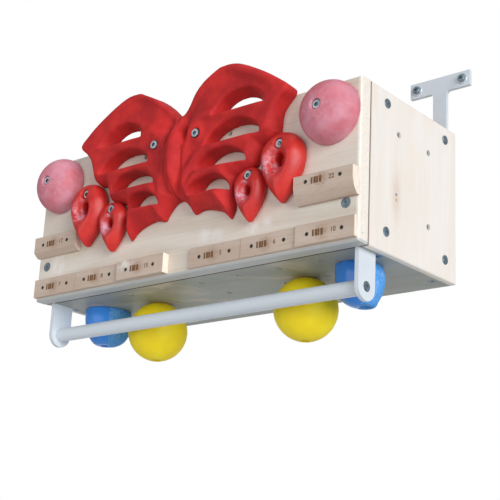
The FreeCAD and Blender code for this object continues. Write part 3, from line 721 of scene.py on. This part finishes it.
def plywood(name, node, thick, grain, pale, deep, chalk=(), knot=None, joint=None, grey_band_bottom=None, nail=None,
            figure=1.0):
    """Birch plywood: a veneer on each face, and plies that show on every cut or rounded edge.

    thick and grain are the axes of the panel's thickness and of the veneer's grain.
    """
    s = Shader(name)
    low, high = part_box(node)
    thickness = high[thick] - low[thick]
    plies = max(5, int(round(thickness / (1.5 * MM))) | 1)
    parts = s.add("ShaderNodeSeparateXYZ", {0: s.position}).outputs
    depth = s.ramp_linear(parts[thick], low[thick], high[thick], 0.004, plies - 0.004)
    odd = s.math("MODULO", s.math("FLOOR", depth), 2.0)
    seam = s.math("ABSOLUTE", s.math("SUBTRACT", s.math("FRACT", depth), 0.5))
    from_face = s.math("MINIMUM", depth, s.math("SUBTRACT", float(plies), depth))
    inner = s.math("MULTIPLY", s.ramp(seam, 0.44, 0.5), s.ramp(from_face, 0.3, 0.6))
    broad = s.noise(5.0, 3.0, 0.5, stretched(grain, 0.30, 1.9), 1.6)
    fibre = s.noise(60.0, 4.0, 0.65, stretched(grain, 0.10, 4.0))
    fleck = s.noise(150.0, 2.0, 0.5, stretched(grain, 0.09, 2.2))
    tone = s.mix(s.ramp(broad, 0.35, 0.68), pale, deep)
    tone = s.mix(s.ramp(fibre, 0.42, 0.72, 0.0, 0.22 * figure), tone, rgb(192, 172, 150))
    cloud = s.noise(9.0, 3.0, 0.5, stretched(grain, 0.7, 1.3), 0.8)
    tone = s.mix(s.ramp(cloud, 0.5, 0.75, 0.0, 0.55), tone, rgb(236, 219, 202))
    tone = s.mix(s.ramp(fleck, 0.62, 0.74, 0.0, 0.12 * figure), tone, rgb(172, 146, 120))
    cut = s.noise(220.0, 3.0, 0.6)
    end = s.mix(s.ramp(cut, 0.3, 0.7), rgb(238, 229, 218), rgb(248, 242, 234))
    tone = s.mix(odd, tone, end)
    within = s.ramp(from_face, 0.9, 1.1, 0.0, 0.65)
    tone = s.mix(within, tone, end)
    tone = s.mix(s.math("MULTIPLY", inner, 0.40), tone, rgb(150, 124, 102))
    if knot:
        tone = add_knot(s, tone, knot)
    if grey_band_bottom:
        # A cooler grey band along the bottom 7 mm of the panel.
        near_bottom = s.ramp_linear(parts[2], grey_band_bottom, grey_band_bottom + 7.0 * MM, 1.0, 0.0)
        tone = s.mix(s.math("MULTIPLY", s.ramp(near_bottom, 0.1, 0.5), 0.85), tone, rgb(186, 190, 192))
    if joint:
        # Painted shade: a dark brown strip on the side and bottom panels just behind the front panel stands
        # in for the shadow in the joint.
        joint_shadow = s.ramp_linear(parts[1], joint + 0.8 * MM, joint + 3.0 * MM, 1.0, 0.0)
        tone = s.mix(joint_shadow, tone, rgb(104, 82, 66))
    if nail:
        tone = s.mix(s.ramp(s.near(nail, 1.6 * MM), 0.2, 0.5), tone, rgb(60, 48, 40))
    rough = s.ramp(fibre, 0.3, 0.7, 0.42, 0.52)
    if chalk:
        smears = [s.near(point, radius) for point, radius in chalk]
        dust = s.noise(60.0, 5.0, 0.6, (1.0, 1.0, 0.40), 0.5)
        mask = s.math("MULTIPLY", s.most(smears), s.ramp(dust, 0.34, 0.60, 0.0, 0.85))
        tone = s.mix(mask, tone, rgb(240, 236, 232))
    s.color(tone)
    s.link(rough, "Roughness")
    s.bump(s.math("ADD", s.math("MULTIPLY", fibre, 0.5), s.math("MULTIPLY", inner, -0.6)), 0.00018, 0.35)
    return s.material


def beech():
    """Sanded beech: even pinkish tone with short dark flecks along the grain."""
    s = Shader("beech_wood")
    broad = s.noise(7.0, 3.0, 0.5, (0.5, 2.0, 2.5), 0.6)
    fleck = s.noise(420.0, 2.0, 0.5, (0.16, 1.0, 1.2))
    fibre = s.noise(120.0, 5.0, 0.7, (0.06, 1.0, 2.4))
    tone = s.mix(s.ramp(broad, 0.3, 0.7), rgb(208, 190, 175), rgb(195, 174, 157))
    tone = s.mix(s.ramp(fleck, 0.58, 0.7, 0.0, 0.35), tone, rgb(176, 142, 116))
    tone = s.mix(s.ramp(fibre, 0.45, 0.75, 0.0, 0.4), tone, rgb(178, 146, 120))
    marks = []
    for name in EDGE_NAMES:
        marks.append(s.near(mark_place(name)[0] - Vector((4.0 * MM, 0, 0)), 21.0 * MM))
    scorch = s.math("MULTIPLY", s.most(marks), s.ramp(s.noise(190.0, 4.0), 0.3, 0.7, 0.25, 0.8))
    tone = s.mix(scorch, tone, rgb(150, 104, 66))
    dust = s.noise(80.0, 6.0, 0.7)
    low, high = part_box("edge_15mm")
    chalked = s.near((low.x + 0.022, low.y, high.z - 0.006), 0.030)
    tone = s.mix(s.math("MULTIPLY", chalked, s.ramp(dust, 0.42, 0.6, 0.0, 0.8)), tone, rgb(238, 234, 230))
    # Faces that point along X, the sawn ends of each edge, get a near-white tone with faint growth rings:
    # partly end grain, partly painted light for the key light that falls on the ends.
    normal = s.add("ShaderNodeNewGeometry").outputs["Normal"]
    lit_end_faces = s.math("ABSOLUTE", s.add("ShaderNodeSeparateXYZ", {0: normal}).outputs[0])
    growth = s.ramp(s.noise(160.0, 3.0, 0.5, (1, 1, 0.4)), 0.3, 0.7)
    rings = s.mix(growth, rgb(247, 236, 222), rgb(236, 220, 202))
    s.color(s.mix(s.ramp(lit_end_faces, 0.8, 0.95), tone, rings))
    s.link(0.5, "Roughness")
    s.bump(fibre, 0.00015, 0.35)
    return s.material


def pine():
    s = Shader("pine_batten")
    broad = s.noise(12.0, 3.0, 0.5, (3.0, 3.0, 0.6), 1.0)
    fibre = s.noise(90.0, 5.0, 0.7, (2.0, 2.0, 0.3))
    tone = s.mix(s.ramp(broad, 0.35, 0.65), rgb(226, 200, 160), rgb(208, 174, 130))
    s.color(s.mix(s.ramp(fibre, 0.45, 0.8, 0.0, 0.4), tone, rgb(180, 142, 100)))
    s.link(0.7, "Roughness")
    s.bump(fibre, 0.0004, 0.4)
    return s.material


def scorch_mark():
    s = Shader("scorched_wood")
    s.color(s.mix(s.noise(300.0, 4.0), rgb(92, 62, 40), rgb(140, 102, 68)))
    s.link(0.85, "Roughness")
    s.bump(s.noise(500.0, 3.0), 0.0001, 0.5)
    return s.material


def powder_coat():
    """White powder coat with a fine orange-peel skin and faint hand marks."""
    s = Shader("white_powder_coat")
    grime = s.noise(14.0, 5.0, 0.6)
    s.color(s.mix(s.ramp(grime, 0.5, 0.8, 0.0, 0.5), rgb(214, 222, 230), rgb(194, 205, 215)))
    s.link(s.ramp(grime, 0.3, 0.8, 0.30, 0.44), "Roughness")
    s.bump(s.noise(900.0, 2.0), 0.00006, 0.4)
    return s.material


def hold_bolt_sockets():
    """Centre of the hexagon socket in the head of each right-hand hold bolt."""
    low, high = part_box("sloper_bolts")
    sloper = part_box("sloper_right")
    sloper_x, sloper_z = (sloper[0].x + sloper[1].x) / 2 / MM, ((low.z + high.z) / 2 - FLOOR_Z) / MM
    points = [(WING_BOLT[0], (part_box("wing_bolts")[0].y - FRONT_Y) / MM, WING_BOLT[1]),
              (sloper_x, (low.y - FRONT_Y) / MM, sloper_z)]
    points += [(p["x"], POCKET_SEAT * p["depth"] - BOLT_HEAD_H, p["bolt_z"]) for p in POCKETS.values()]
    return [tuple(at(*point)) for point in points]


def zinc(name, dark, bright, sockets=()):
    """Zinc plating with a faint blue cast and cloudy wear."""
    s = Shader(name)
    cloud = s.noise(180.0, 4.0, 0.6)
    tone = s.mix(s.ramp(cloud, 0.3, 0.7), dark, bright)
    if sockets:
        # Painted shade: the hexagon socket in each hold bolt's head is darkened to near black.
        inside = s.most([s.near(point, 9.0 * MM, mirrored=True) for point in sockets])
        tone = s.mix(s.ramp(inside, 0.52, 0.66), tone, rgb(34, 40, 46))
    s.color(tone)
    s.link(0.72, "Metallic")
    s.link(s.ramp(cloud, 0.3, 0.7, 0.34, 0.50), "Roughness")
    s.bump(s.noise(700.0, 3.0), 0.00006, 0.4)
    return s.material


def blackened():
    """Dark phosphated wood screws."""
    s = Shader("blackened_steel")
    cloud = s.noise(300.0, 4.0, 0.6)
    s.color(s.mix(s.ramp(cloud, 0.3, 0.7), rgb(62, 60, 56), rgb(112, 108, 98)))
    s.link(1.0, "Metallic")
    s.link(s.ramp(cloud, 0.3, 0.7, 0.38, 0.58), "Roughness")
    return s.material


def resin(name, bright, dark, rough, grit, chalk=(), chalk_tone=None, chalk_amount=0.8, spread=0.0,
          mirrored=True):
    """Cast resin: gritty moulded skin, slight mottling, and dusty chalk where hands go.

    chalk holds places and radii of smears, and spread is how strong an even film of chalk is.
    """
    s = Shader(name)
    mottle = s.noise(24.0, 4.0, 0.55)
    fine = s.noise(240.0, 3.0, 0.6)
    tone = s.mix(s.ramp(mottle, 0.32, 0.70), dark, bright)
    tone = s.mix(s.ramp(fine, 0.45, 0.8, 0.0, 0.22), tone, dark)
    roughness = s.ramp(fine, 0.3, 0.7, rough - 0.05, rough + 0.06)
    if chalk or spread:
        dust = s.noise(70.0, 7.0, 0.72, (1, 1, 1), 0.5)
        cover = s.ramp(dust, 0.40, 0.62, 0.0, chalk_amount)
        masks = [s.near(point, radius, mirrored) for point, radius in chalk]
        mask = s.math("MULTIPLY", s.most(masks), cover) if masks else cover
        if spread:
            film = s.ramp(s.noise(26.0, 5.0, 0.6), 0.25, 0.75, 0.35 * spread, spread)
            mask = s.math("MAXIMUM", mask, film)
        tone = s.mix(mask, tone, chalk_tone or rgb(232, 205, 212))
        roughness = s.math("MAXIMUM", roughness, s.math("MULTIPLY", mask, 0.9))
    s.color(tone)
    s.link(roughness, "Roughness")
    grain = s.math("MULTIPLY", s.noise(900.0, 2.0), 0.4)
    s.bump(s.math("ADD", s.math("MULTIPLY", fine, 0.6), grain), grit, 0.6)
    return s.material


def two_texture_blue(side):
    """Blue hold with one polished half and one gritty, chalky half that meet in a sharp line; the gritty
    half's lighter blue is partly painted light for the key light on its side.
    """
    s = Shader(f"blue_resin_{side}")
    low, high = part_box(f"pinch_{side}")
    parts = s.add("ShaderNodeSeparateXYZ", {0: s.position}).outputs
    middle = (low + high) / 2
    turned = s.math("ADD", s.math("MULTIPLY", s.math("SUBTRACT", parts[0], middle.x), 0.77),
                    s.math("MULTIPLY", s.math("SUBTRACT", parts[1], middle.y), 0.64))
    at_line = {"right": -0.012, "left": 0.010}[side]
    gritty = s.ramp_linear(turned, at_line, at_line + 0.0006, 0.0, 1.0)
    fine = s.noise(260.0, 4.0, 0.7)
    dust = s.noise(60.0, 6.0, 0.7)
    # Partly painted light: the gritty half is real texture with chalk dust, and its lighter blue also stands
    # in for the key light falling on this side.
    gritty_and_lit_tone = s.mix(s.ramp(fine, 0.35, 0.7), rgb(62, 138, 216), rgb(104, 174, 236))
    gritty_and_lit_tone = s.mix(s.ramp(dust, 0.50, 0.74, 0.0, 0.35), gritty_and_lit_tone, rgb(196, 218, 240))
    s.color(s.mix(gritty, rgb(58, 142, 234), gritty_and_lit_tone))
    s.link(s.ramp_linear(gritty, 0.0, 1.0, 0.22, 0.78), "Roughness")
    s.bump(s.math("MULTIPLY", fine, gritty), 0.0006, 0.7)
    return s.material


def hold_point(x, y, z):
    return tuple(at(x, y, z))


# ---------------------------------------------------------------- painting the CAD nodes
# height of the marks on the two tall edges; on the others they are in the middle
MARK_Z = {"edge_17mm": at(0, 0, 115).z, "edge_22mm": at(0, 0, 116).z}
MATTE_RED = resin("matte_red_resin", rgb(206, 34, 32), rgb(176, 18, 24), 0.74, 0.00035)
# chalk smears on each pocket: shift from its middle, depth, height and radius
POCKET_CHALK = {"pocket_large": [(-16, -34, 156, 34), (-8, -37, 184, 16)],
                "pocket_small": [(-11, -26, 116, 25), (-2, -29, 141, 10)]}
POCKET_SMEARS = [(hold_point(sign * POCKETS[name]["x"] + across, depth, z), radius * MM)
                 for name, smears in POCKET_CHALK.items() for sign in (1, -1)
                 for across, depth, z, radius in smears]
POCKET_RED = resin("gloss_red_resin", rgb(212, 50, 42), rgb(192, 34, 34), 0.42, 0.00010, chalk=POCKET_SMEARS,
                   mirrored=False, chalk_tone=rgb(222, 186, 206), chalk_amount=0.85)
SLOPER_RED = resin(
    "chalky_red_resin", rgb(206, 70, 80), rgb(184, 52, 66), 0.60, 0.00025,
    chalk=[(hold_point(348, -54, 232), 0.095)], chalk_tone=rgb(228, 180, 198), chalk_amount=0.66, spread=0.60)
YELLOW = resin("yellow_resin", rgb(255, 232, 24), rgb(248, 219, 16), 0.55, 0.00040)
BLUES = {side: two_texture_blue(side) for side in ("right", "left")}
BRIGHT_ZINC = zinc("bright_zinc", rgb(196, 206, 214), rgb(232, 238, 242))
ZINC_GREY = zinc("grey_zinc", rgb(108, 126, 138), rgb(150, 166, 176))
DARK_STEEL = blackened()
HOLD_BOLT = zinc("hold_bolt_zinc", rgb(176, 196, 208), rgb(224, 234, 240), sockets=hold_bolt_sockets())
SCORCH = scorch_mark()
COAT = powder_coat()
BEECH = beech()
PINE = pine()

FACE_PALE, FACE_DEEP = rgb(229, 221, 210), rgb(216, 205, 191)
# Painted light: the side panels get a paler copy of the front's birch veneer, with less figure (figure=0.35),
# for the key light that washes over them.
SIDE_LIT_PALE, SIDE_LIT_DEEP = rgb(236, 231, 226), rgb(232, 225, 216)
PANELS = {
    "front_panel": plywood("birch_front", "front_panel", 1, 0, FACE_PALE, FACE_DEEP, chalk=[
        (hold_point(60, 0, 66), 0.026), (hold_point(92, 0, 62), 0.022), (hold_point(178, 0, 62), 0.024),
        (hold_point(210, 0, 66), 0.020), (hold_point(-348, 0, 68), 0.036)],
        grey_band_bottom=FLOOR_Z, nail=hold_point(HALF_W, 12, 17)),
    "side_panel_right": plywood("birch_side_right", "side_panel_right", 0, 2, SIDE_LIT_PALE, SIDE_LIT_DEEP,
                                knot=hold_point(HALF_W, 113, 115), joint=PANEL_HIGH.y, figure=0.35),
    "side_panel_left": plywood("birch_side_left", "side_panel_left", 0, 2, SIDE_LIT_PALE, SIDE_LIT_DEEP,
                               joint=PANEL_HIGH.y, figure=0.35),
    # Painted shade: the bottom panel takes a darker, greyer copy of the birch veneer for the shade on the
    # underside.
    "bottom_panel": plywood("birch_bottom", "bottom_panel", 2, 0, rgb(162, 168, 164), rgb(149, 154, 149),
                            joint=PANEL_HIGH.y),
    "top_panel": plywood("birch_top", "top_panel", 2, 0, FACE_PALE, FACE_DEEP),
}
BY_SLOT = {"pine_batten": PINE, "beech": BEECH, "white_powder_coat": COAT, "zinc_steel": BRIGHT_ZINC,
           "matte_red_resin": MATTE_RED, "red_resin": POCKET_RED, "chalked_red_resin": SLOPER_RED,
           "yellow_resin": YELLOW, "blue_resin": BLUES["right"]}
BY_NODE = dict(PANELS, edge_screws=DARK_STEEL, front_panel_screws=ZINC_GREY, bottom_panel_screws=ZINC_GREY,
               side_panel_screws=ZINC_GREY, bar_bolts=ZINC_GREY,
               wing_bolts=HOLD_BOLT, pocket_bolts=HOLD_BOLT, sloper_bolts=HOLD_BOLT)


def paint_nodes():
    """Gives every CAD node its material."""
    for part in frame["record"]["subparts"]:
        material = BY_NODE.get(part["node"]) or BY_SLOT[part["material_slot"]]
        for slot in NODES[part["node"]].material_slots:
            slot.material = material


paint_nodes()
make_wings()
for pocket_name, pocket in POCKETS.items():
    make_pocket(pocket_name, pocket)
make_slopers()
make_balls()
make_pinches()
make_wall_bolts()
make_seat_washers()
make_edge_marks()

# ---------------------------------------------------------------- floor, light and camera
FLOOR_LEVEL = -2.5
FLOOR_HALF = 8.0


def make_floor():
    s = Shader("pale_floor")
    s.color(s.mix(s.noise(3.0, 4.0), rgb(236, 236, 235), rgb(228, 228, 227)))
    s.link(0.9, "Roughness")
    corners = [(x * FLOOR_HALF, y * FLOOR_HALF, FLOOR_LEVEL) for x, y in ((-1, -1), (1, -1), (1, 1), (-1, 1))]
    add_mesh("floor", corners, [(0, 1, 2, 3)], s.material, smooth=False)


def make_world():
    """White to the camera, and dimmer as a light."""
    world = bpy.data.worlds.new("studio")
    bpy.context.scene.world = world
    world.use_nodes = True
    tree = world.node_tree
    tree.nodes.clear()
    path = tree.nodes.new("ShaderNodeLightPath")
    seen, lit = tree.nodes.new("ShaderNodeBackground"), tree.nodes.new("ShaderNodeBackground")
    seen.inputs[0].default_value = (1, 1, 1, 1)
    lit.inputs[0].default_value = (0.93, 0.96, 1.0, 1)
    lit.inputs[1].default_value = 0.30
    both, out = tree.nodes.new("ShaderNodeMixShader"), tree.nodes.new("ShaderNodeOutputWorld")
    tree.links.new(path.outputs["Is Camera Ray"], both.inputs[0])
    tree.links.new(lit.outputs[0], both.inputs[1])
    tree.links.new(seen.outputs[0], both.inputs[2])
    tree.links.new(both.outputs[0], out.inputs[0])


def add_sun(name, toward, strength, spread):
    light = bpy.data.lights.new(name, "SUN")
    light.energy = strength
    light.angle = math.radians(spread)
    lamp = bpy.data.objects.new(name, light)
    lamp.rotation_euler = Vector(toward).to_track_quat("Z", "Y").to_euler()
    bpy.context.scene.collection.objects.link(lamp)


CAMERA_YAW, CAMERA_PITCH, CAMERA_ROLL = 40.53, 17.01, 2.86
CAMERA_PLACE = Vector((1.4893, FRONT_Y - 1.5390, -1.0139))
CAMERA_LENS = 85.36


def make_camera():
    """Low, to the right of the box, looking up at its front."""
    data = bpy.data.cameras.new("camera")
    data.sensor_width = 36.0
    data.lens = CAMERA_LENS
    data.clip_start = 0.05
    camera = bpy.data.objects.new("camera", data)
    turns = ((CAMERA_YAW, "Z"), (90 + CAMERA_PITCH, "X"), (CAMERA_ROLL, "Z"))
    yaw, pitch, roll = (Matrix.Rotation(math.radians(angle), 4, axis) for angle, axis in turns)
    camera.matrix_world = Matrix.Translation(CAMERA_PLACE) @ yaw @ pitch @ roll
    bpy.context.scene.collection.objects.link(camera)
    bpy.context.scene.camera = camera


make_floor()
make_world()
add_sun("key", (0.92, -0.34, 0.11), 2.60, 40.0)
add_sun("fill", (-0.15, -0.95, -0.06), 0.80, 50.0)
add_sun("overhead", (0.10, 0.15, 1.0), 0.35, 60.0)
add_sun("back_fill", (-0.60, 0.75, 0.28), 0.9, 60.0)
make_camera()
bpy.context.scene.view_settings.view_transform = "Standard"
bpy.context.view_layer.update()
